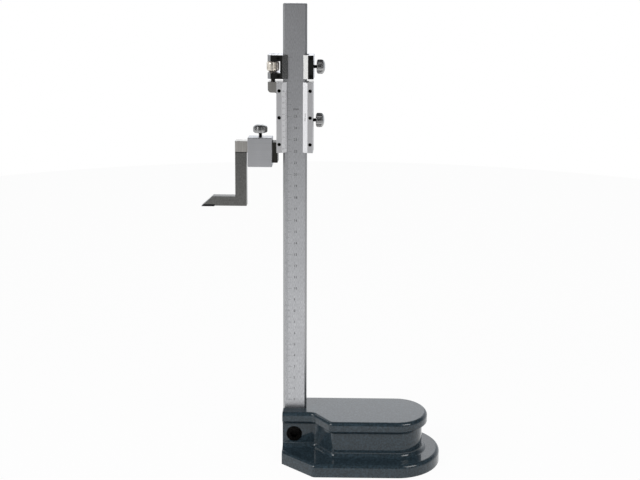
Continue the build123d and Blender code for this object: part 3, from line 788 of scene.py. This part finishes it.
# ================ sub-assemblies
@dataclass
class Studio:
    """Camera, floor, backdrop and soft lights; none of them is part of the gauge."""

    image_width_px: float = 640.0
    image_height_px: float = 480.0
    focal_px: float = 1061.9
    axis_x_px: float = 364.1  # where the optical axis meets the image
    axis_y_px: float = 88.4
    camera_x: float = 61.7
    camera_y: float = -888.4
    camera_z: float = 440.9
    pitch_rad: float = 0.13
    yaw_rad: float = -0.004
    roll_rad: float = 0.009
    sensor_mm: float = 36.0
    floor_radius: float = 1300.0
    dark_side: tuple[float, float, float] = (0.0, -0.82, 0.57)  # unlit side of the room
    dark_edges: tuple[float, float] = (-0.45, 0.08)  # cosines where it starts and is full
    dark_level: float = 0.06
    floor_glow: float = 0.96  # the rest of the floor takes the gauge's shadow
    aim: tuple[float, float, float] = (20.0, 0.0, 180.0)  # middle of the gauge

    def build(self) -> None:
        """Sets up the whole studio."""
        self.camera()
        self.world()
        self.floor()
        self.lamps()
        bpy.context.scene.view_settings.view_transform = "Standard"

    def camera(self) -> None:
        """Adds the camera, with the lens shifted as a view camera's is."""
        forward = Vector((math.sin(self.yaw_rad) * math.cos(self.pitch_rad),
                          math.cos(self.yaw_rad) * math.cos(self.pitch_rad),
                          -math.sin(self.pitch_rad)))
        level = Vector((math.cos(self.yaw_rad), -math.sin(self.yaw_rad), 0.0))
        upright = level.cross(forward)
        right = math.cos(self.roll_rad) * level + math.sin(self.roll_rad) * upright
        up = math.cos(self.roll_rad) * upright - math.sin(self.roll_rad) * level
        lens = bpy.data.cameras.new("view")
        lens.sensor_width = self.sensor_mm
        lens.lens = self.focal_px / self.image_width_px * self.sensor_mm
        lens.shift_x = (self.image_width_px / 2 - self.axis_x_px) / self.image_width_px
        lens.shift_y = (self.axis_y_px - self.image_height_px / 2) / self.image_width_px
        lens.clip_start = 0.01
        lens.clip_end = 100.0
        viewer = bpy.data.objects.new("view", lens)
        turned = Matrix((right, up, -forward)).transposed().to_4x4()
        place = Vector((self.camera_x, self.camera_y, self.camera_z)) * MM
        viewer.matrix_world = Matrix.Translation(place) @ turned
        bpy.context.collection.objects.link(viewer)
        bpy.context.scene.camera = viewer

    def rays(self, tree: NodeTree, kind: str) -> NodeSocket:
        """Returns 1 for a ray from the camera or of one other kind, and 0 for the rest."""
        path = add_node(tree, "ShaderNodeLightPath").outputs
        return add_node(tree, "ShaderNodeMath", {0: path["Is Camera Ray"], 1: path[kind]},
                        operation="MAXIMUM").outputs[0]

    def world(self) -> None:
        """White to the camera; to the gauge a pale room with one side unlit."""
        world = bpy.data.worlds.new("pale_room")
        bpy.context.scene.world = world
        world.use_nodes = True
        tree = world.node_tree
        tree.nodes.clear()
        place = add_node(tree, "ShaderNodeTexCoord")
        side = Vector(self.dark_side).normalized()
        toward = add_node(tree, "ShaderNodeVectorMath", {0: place.outputs["Generated"]},
                          {1: side}, operation="DOT_PRODUCT")
        room = add_node(tree, "ShaderNodeMapRange", {"Value": toward.outputs["Value"]},
                        {"From Min": self.dark_edges[0], "From Max": self.dark_edges[1],
                         "To Min": 1.0, "To Max": self.dark_level},
                        interpolation_type="SMOOTHSTEP")
        lit = add_node(tree, "ShaderNodeBackground", {"Strength": room.outputs[0]},
                       {"Color": srgb("#f5f8fd")})
        seen = add_node(tree, "ShaderNodeBackground",
                        inputs={"Color": srgb("#ffffff"), "Strength": 1.0})
        mixed = add_node(tree, "ShaderNodeMixShader",
                         {0: self.rays(tree, "Is Transmission Ray"), 1: lit.outputs[0],
                          2: seen.outputs[0]})
        add_node(tree, "ShaderNodeOutputWorld", {"Surface": mixed.outputs[0]})

    def floor(self) -> None:
        """Adds a plain pale floor that keeps a soft shadow of the gauge."""
        deselect_all()
        bpy.ops.mesh.primitive_circle_add(vertices=96, radius=self.floor_radius * MM,
                                          fill_type="NGON", location=(0, 0, -0.02 * MM))
        ground = bpy.context.object
        ground.name = "floor"
        material = bpy.data.materials.new("pale_paper")
        material.use_nodes = True
        tree = material.node_tree
        tree.nodes.clear()
        paper = add_node(tree, "ShaderNodeBsdfDiffuse", inputs={"Color": srgb("#f4f4f4")})
        white = add_node(tree, "ShaderNodeEmission",
                         inputs={"Color": srgb("#ffffff"), "Strength": 1.0})
        share = add_node(tree, "ShaderNodeMath", {0: self.rays(tree, "Is Glossy Ray")},
                         {1: self.floor_glow}, operation="MULTIPLY")
        mixed = add_node(tree, "ShaderNodeMixShader",
                         {0: share.outputs[0], 1: paper.outputs[0], 2: white.outputs[0]})
        add_node(tree, "ShaderNodeOutputMaterial", {"Surface": mixed.outputs[0]})
        ground.data.materials.append(material)

    def lamps(self) -> None:
        """Adds a soft key at the left, two windows in front and a wide panel behind."""
        boxes = {"key": ((-1500.0, -700.0, 450.0), 1000.0, 4.2),
                 "left_window": ((-1000.0, -1000.0, 1100.0), 750.0, 13.0),
                 "right_window": ((1000.0, -1000.0, 1100.0), 750.0, 11.0),
                 "back_panel": ((60.0, 1500.0, 850.0), 700.0, 1.3)}
        for name, (place, size, watts) in boxes.items():
            self.softbox(name, place, size, watts)

    def softbox(self, name: str, place: tuple[float, float, float], size: float,
                watts: float) -> None:
        """Adds a square softbox aimed at the middle of the gauge.

        Args:
            name: Its name.
            place: Its centre in millimetres.
            size: Its side in millimetres.
            watts: Its power.
        """
        light = bpy.data.lights.new(name, "AREA")
        light.shape = "SQUARE"
        light.size = size * MM
        light.energy = watts
        lamp = bpy.data.objects.new(name, light)
        start = Vector(place) * MM
        lamp.location = start
        lamp.rotation_euler = (Vector(self.aim) * MM - start).to_track_quat("-Z", "Y").to_euler()
        bpy.context.collection.objects.link(lamp)


@dataclass
class Dresser:
    """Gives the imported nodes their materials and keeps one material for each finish."""

    made: dict[str, Material] = field(default_factory=dict)

    def of(self, finish: Finish) -> Material:
        """Returns the material of a finish, made once."""
        if finish.name not in self.made:
            self.made[finish.name] = finish.make()
        return self.made[finish.name]

    def dress(self, finish: Finish, *nodes: str) -> None:
        """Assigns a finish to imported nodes, by name."""
        for name in nodes:
            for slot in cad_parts[name].material_slots:
                slot.material = self.of(finish)
            log.info("%s: %s", name, finish.name)


@dataclass
class Engraving:
    """Filled lines and figures of the column's scale and of the vernier.

    Lengths are in millimetres. The filler stands a hair proud of the metal.
    """

    dresser: Dresser
    proud: float = 0.02
    sunk: float = 0.05
    line_width: float = 0.14
    zero_z: float = 51.0  # height of the scale's zero line
    scale_length: int = 300
    scale_left: float = -8.3
    mm_line: float = 2.6
    half_line: float = 3.9
    cm_line: float = 5.6
    last_label: int = 25
    figure_height: float = 2.1
    figure_x: float = -0.3
    two_digit_shift: float = 0.9
    unit_x: float = 1.0
    unit_z: float = 256.2  # above the zero line
    vernier_zero_z: float = 273.5
    vernier_length: float = 49.0
    vernier_divisions: int = 50
    vernier_line: float = 1.4
    vernier_reach: float = 0.8  # how much further every fifth line goes
    vernier_figure: float = 1.2
    figure_share: float = 0.26  # where the figures stand across the bevel, from its brow
    edge_gap: float = 0.25
    bevel_run: float = 3.95
    bevel_lip: float = 0.5  # thickness left at the bevel's foot
    note_height: float = 1.3
    note_z: float = 300.6

    def fill(self, item: Object, name: str, body: str) -> None:
        """Fills a finished engraving with black and hands it to its body."""
        mount(item, name, self.dresser.of(FILLER), body)

    def row(self, length: float, first: float, pitch: float, count: int) -> Object:
        """Adds a row of equal lines up the Y axis.

        Args:
            length: Length of a line.
            first: Height of the first.
            pitch: Distance between two.
            count: How many.

        Returns:
            The row.
        """
        half = self.line_width / 2
        item = block((0, -half, -self.sunk), (length, half, self.proud))
        repeat(item, pitch, count)
        return place_at(item, Matrix.Translation((0, first * MM, 0)))

    def scale(self) -> None:
        """Engraves the column's front: millimetre lines, and figures in centimetres."""
        lines = self.row(self.mm_line, 1, 1, 4)  # the four between two longer ones
        repeat(lines, 5, self.scale_length // 5)
        halves = self.row(self.half_line, 5, 10, self.scale_length // 10)
        wholes = self.row(self.cm_line, 0, 10, self.scale_length // 10 + 1)
        ruled = join([lines, halves, wholes])
        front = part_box("column")[0].y / MM
        foot = Vector((self.scale_left, front, self.zero_z)) * MM
        place_at(ruled, Matrix.Translation(foot) @ TO_FRONT)
        self.fill(ruled, "scale_lines", "base")
        figures = []
        for value in range(self.last_label + 1):
            shift = self.two_digit_shift if value > 9 else 0.0
            figures.append(self.figure(str(value), self.figure_x + shift,
                                       self.zero_z + 10 * value, front))
        figures.append(self.figure("mm", self.unit_x, self.zero_z + self.unit_z, front))
        self.fill(join(figures), "scale_figures", "base")

    def figure(self, text: str, x: float, z: float, front: float) -> Object:
        """Engraves one figure, centred on X and Z, on a face that looks to the front."""
        item = lettering(text, self.figure_height, self.sunk + self.proud)
        place = Vector((x, front + self.sunk, z)) * MM
        return place_at(item, Matrix.Translation(place) @ TO_FRONT)

    def bevel(self, node: str, right: bool) -> tuple[Vector, Vector, Matrix]:
        """Finds a plate's bevel beside the column.

        Args:
            node: The plate.
            right: Whether the plate lies right of the column.

        Returns:
            Foot and brow of the bevel at height 0, in millimetres, and the turn that lays
            an engraving on it, with its X across the bevel to the right and its Z outward.
        """
        low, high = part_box(node)
        edge = (low if right else high).x / MM
        foot = Vector((edge, high.y / MM - self.bevel_lip, 0))
        brow = Vector((edge + (self.bevel_run if right else -self.bevel_run), low.y / MM, 0))
        across = ((brow - foot) if right else (foot - brow)).normalized()
        upward = Vector((0, 0, 1))
        turned = Matrix((across, upward, across.cross(upward))).transposed().to_4x4()
        return foot, brow, turned

    def vernier(self) -> None:
        """Engraves the left bevel: fifty divisions over 49 mm, figures from 0 to 10."""
        foot, brow, turned = self.bevel("vernier_plate", right=False)
        across, outward = turned.col[0].to_3d(), turned.col[2].to_3d()
        pitch = self.vernier_length / self.vernier_divisions
        shorts = self.row(self.vernier_line, 0, pitch, self.vernier_divisions + 1)
        longs = self.row(self.vernier_reach, 0, 5 * pitch, self.vernier_divisions // 5 + 1)
        place_at(shorts, Matrix.Translation((-self.vernier_line * MM, 0, 0)))
        place_at(longs, Matrix.Translation((-(self.vernier_line + self.vernier_reach) * MM, 0, 0)))
        ruled = join([shorts, longs])
        edge = Vector((foot.x, foot.y, self.vernier_zero_z)) - across * self.edge_gap
        place_at(ruled, Matrix.Translation(edge * MM) @ turned)
        self.fill(ruled, "vernier_lines", "slider")
        inset = across * ((foot - brow).length * self.figure_share) - outward * self.sunk
        figures = []
        for value in range(self.vernier_divisions // 5 + 1):
            item = lettering(str(value), self.vernier_figure, self.sunk + self.proud)
            middle = Vector((brow.x, brow.y, self.vernier_zero_z + 5 * pitch * value)) + inset
            figures.append(place_at(item, Matrix.Translation(middle * MM) @ turned))
        self.fill(join(figures), "vernier_figures", "slider")

    def graduation_note(self) -> None:
        """Engraves the value of one division, upright, on the right bevel."""
        foot, brow, turned = self.bevel("cover_plate", right=True)
        item = lettering("0.02 mm", self.note_height, self.sunk + self.proud)
        outward = turned.col[2].to_3d()
        middle = (foot + brow) / 2 + Vector((0, 0, self.note_z)) - outward * self.sunk
        place_at(item, Matrix.Translation(middle * MM) @ turned
                 @ Matrix.Rotation(math.pi / 2, 4, "Z"))
        self.fill(item, "division_note", "slider")


@dataclass
class Fasteners:
    """Small turned pieces: thumb screws, adjusting nut and rod, and the plates' screws."""

    dresser: Dresser
    flutes: int = 8
    overrun: float = 1.0  # how far a cutter runs past what it cuts
    m3_radius: float = 1.5
    m3_depth: float = 0.3
    m3_pitch: float = 0.5
    m4_radius: float = 2.0
    m4_depth: float = 0.35
    m4_pitch: float = 0.7
    head_radius: float = 6.15
    head_neck: float = 3.8
    head_length: float = 7.1
    stem_overlap: float = 0.2  # how far the stem runs into the head
    nut_radius: float = 5.4
    nut_soft: float = 2.6  # radius of the nut's rounded rims
    nut_bore: float = 2.1
    screw_radius: float = 1.45
    screw_break: float = 0.06  # broken edge of the screw's head
    screw_shank: float = 0.8
    screw_seat: float = 4.2  # height of the head's underside
    screw_length: float = 5.4
    socket_floor: float = 4.7
    socket_radius: float = 0.8

    def fluted(self, head: Object, radius: float, flute_radius: float,
               depth: float, span: tuple[float, float], first_deg: float) -> None:
        """Mills flutes round a turned head.

        Args:
            head: Turned head about the Z axis.
            radius: Its largest radius.
            flute_radius: Radius of the cutter.
            depth: Depth of a flute at the rim.
            span: Heights between which the cutter runs.
            first_deg: Angle of the first flute.
        """
        reach = radius + flute_radius - depth
        tools = []
        for index in range(self.flutes):
            angle = math.radians(first_deg + 360 / self.flutes * index)
            tools.append(rod(flute_radius, span[0], span[1], 28,
                             (reach * math.cos(angle), reach * math.sin(angle))))
        cut(head, join(tools))

    def dome(self, rim: float, start: float, end: float,
             count: int) -> list[tuple[float, float]]:
        """Draws a crown, a little fuller than an ellipse, from the rim over to the axis."""
        fullness = 0.8  # an ellipse has 1
        angles = [math.pi / 2 * i / count for i in range(count)]
        crown = [(rim * math.cos(a) ** fullness, start + (end - start) * math.sin(a))
                 for a in angles]
        return crown + [(0.0, end)]

    def stand(self, node: str) -> tuple[Matrix, float]:
        """Returns the place of the middle of a node's foot, and its height in millimetres."""
        low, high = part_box(node)
        centre = (low + high) / 2
        return Matrix.Translation((centre.x, centre.y, low.z)), (high.z - low.z) / MM

    def thumb_head(self, radius: float, neck: float, length: float) -> Object:
        """Models a thumb screw's head standing on Z = 0.

        Args:
            radius: Its largest radius.
            neck: Radius of its underside.
            length: Its height.

        Returns:
            The fluted head.
        """
        flare = ((0.0, 0.0), (0.42, 0.12), (0.75, 0.5), (0.94, 1.0), (1.0, 1.6))
        belly = [(neck + share * (radius - neck), height) for share, height in flare]
        crown_share = 0.56  # of the length, where the crown starts
        crown = self.dome(radius, crown_share * length, length, 9)
        head = turn([(0.0, 0.0)] + belly + crown, 96)
        self.fluted(head, radius, 2.2, 0.85, (-self.overrun, length + self.overrun),
                    180 / self.flutes)
        soften(head, 0.18)
        return smooth(head, 40)

    def thumb_screws(self) -> None:
        """Models the three thumb screws from one head."""
        places = {"slider_clamp_screw": ("slider_screw", True),
                  "carriage_clamp_screw": ("carriage_screw", True),
                  "scriber_clamp_screw": ("scriber_screw", False)}
        master = self.thumb_head(self.head_radius, self.head_neck, self.head_length)
        for node, (body, sideways) in places.items():
            low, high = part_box(node)
            axis = 0 if sideways else 2
            stem_length = (high[axis] - low[axis]) / MM - self.head_length
            centre = (low + high) / 2
            centre[axis] = low[axis]
            matrix = Matrix.Translation(centre)
            if sideways:
                matrix = matrix @ Matrix.Rotation(math.pi / 2, 4, "Y")
            head = place_at(copied(master),
                            matrix @ Matrix.Translation((0, 0, stem_length * MM)))
            stem = smooth(thread(self.m3_radius, self.m3_depth, self.m3_pitch, 0.0,
                                 stem_length + self.stem_overlap), 25)
            place_at(stem, matrix)
            mount(head, node + "_head", self.dresser.of(HEAD_CHROME), body, node)
            mount(stem, node + "_stem", self.dresser.of(BLACK_OXIDE), body)
        bpy.data.objects.remove(master)

    def adjusting_nut(self) -> None:
        """Models the fluted nut of the fine adjustment."""
        place, height = self.stand("fine_adjust_nut")
        radius, soft = self.nut_radius, self.nut_soft
        corner = [(radius - soft + soft * math.sin(math.radians(a)),
                   soft - soft * math.cos(math.radians(a))) for a in range(0, 91, 15)]
        profile = [(0.0, 0.0)] + corner \
            + [(r, height - z) for r, z in reversed(corner)] + [(0.0, height)]
        nut = turn(profile, 96)
        span = (-self.overrun, height + self.overrun)
        self.fluted(nut, radius, 1.9, 0.75, span, -90.0)
        cut(nut, rod(self.nut_bore, span[0], span[1], 48))
        soften(nut, 0.16)
        place_at(nut, place)
        mount(smooth(nut, 40), "fine_adjust_nut_fluted", self.dresser.of(NICKEL), "nut",
              "fine_adjust_nut")

    def adjusting_rod(self) -> None:
        """Models the threaded rod, pinned in the slider's lug."""
        place, length = self.stand("fine_adjust_rod")
        stem = thread(self.m4_radius, self.m4_depth, self.m4_pitch, 0.0, length)
        place_at(stem, place)
        mount(smooth(stem, 25), "fine_adjust_rod_threaded", self.dresser.of(ROD_STEEL),
              "slider", "fine_adjust_rod")

    def plate_screws(self) -> None:
        """Models the plates' socket screws from one, and copies it to every hole."""
        groups = {"vernier_plate_screws": ("slider", 3, BLACK_OXIDE),
                  "cover_plate_screws": ("slider", 3, BLACK_OXIDE),
                  "carriage_left_screws": ("carriage", 2, BLACKED_SCREW),
                  "carriage_right_screws": ("carriage", 2, BLACKED_SCREW)}
        top, rim = self.screw_length, self.screw_radius
        head = turn([(0, 0), (self.screw_shank, 0), (self.screw_shank, self.screw_seat),
                     (rim, self.screw_seat), (rim, top - self.screw_break),
                     (rim - self.screw_break, top), (0, top)], 40)
        cut(head, rod(self.socket_radius, self.socket_floor, top + self.overrun, 6))
        smooth(head, 30)
        for node, (body, count, finish) in groups.items():
            low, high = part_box(node)
            screws = []
            for index in range(count):
                share = index / (count - 1)
                z = low.z + rim * MM + (high.z - low.z - 2 * rim * MM) * share
                middle = Vector(((low.x + high.x) / 2, high.y, z))
                depth = (high.y - low.y) / MM / top
                matrix = Matrix.Translation(middle) @ TO_FRONT \
                    @ Matrix.Scale(depth, 4, (0, 0, 1))
                screws.append(place_at(copied(head), matrix))
            mount(join(screws), node + "_socketed", self.dresser.of(finish), body,
                  node)
        bpy.data.objects.remove(head)


def dress_nodes(dresser: Dresser) -> None:
    """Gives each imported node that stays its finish.

    Args:
        dresser: What assigns the finishes.
    """
    dresser.dress(PAINT, "base_casting")
    dresser.dress(COLUMN_CHROME, "column")
    dresser.dress(BLACK_OXIDE, "column_clamp_screw", "jaw_arm_screws", "rod_lock_screw")
    dresser.dress(SLIDER_CHROME, "slider_body")
    dresser.dress(PLATE_CHROME, "vernier_plate", "cover_plate")
    dresser.dress(GIB_STEEL, "slider_gib", "carriage_gib")
    dresser.dress(PAD_BRASS, "slider_clamp_shoe", "carriage_clamp_shoe", "scriber_clamp_shoe")
    dresser.dress(CARRIAGE_STEEL, "carriage_body")
    dresser.dress(CARRIAGE_BLACK, "carriage_left_plate", "carriage_right_plate")
    dresser.dress(ARM_STEEL, "jaw_arm")
    dresser.dress(BOX_CHROME, "clamp_box")
    dresser.dress(SCRIBER_STEEL, "scriber")
    dresser.dress(CARBIDE, "scriber_tip")


def main() -> None:
    """Builds the studio and every sub-assembly, in order."""
    logging.basicConfig(level=logging.INFO, format="%(message)s")
    Studio().build()
    dresser = Dresser()
    dress_nodes(dresser)
    engraving = Engraving(dresser)
    engraving.scale()
    engraving.vernier()
    engraving.graduation_note()
    fasteners = Fasteners(dresser)
    fasteners.thumb_screws()
    fasteners.adjusting_nut()
    fasteners.adjusting_rod()
    fasteners.plate_screws()


if __name__ == "__main__":
    main()
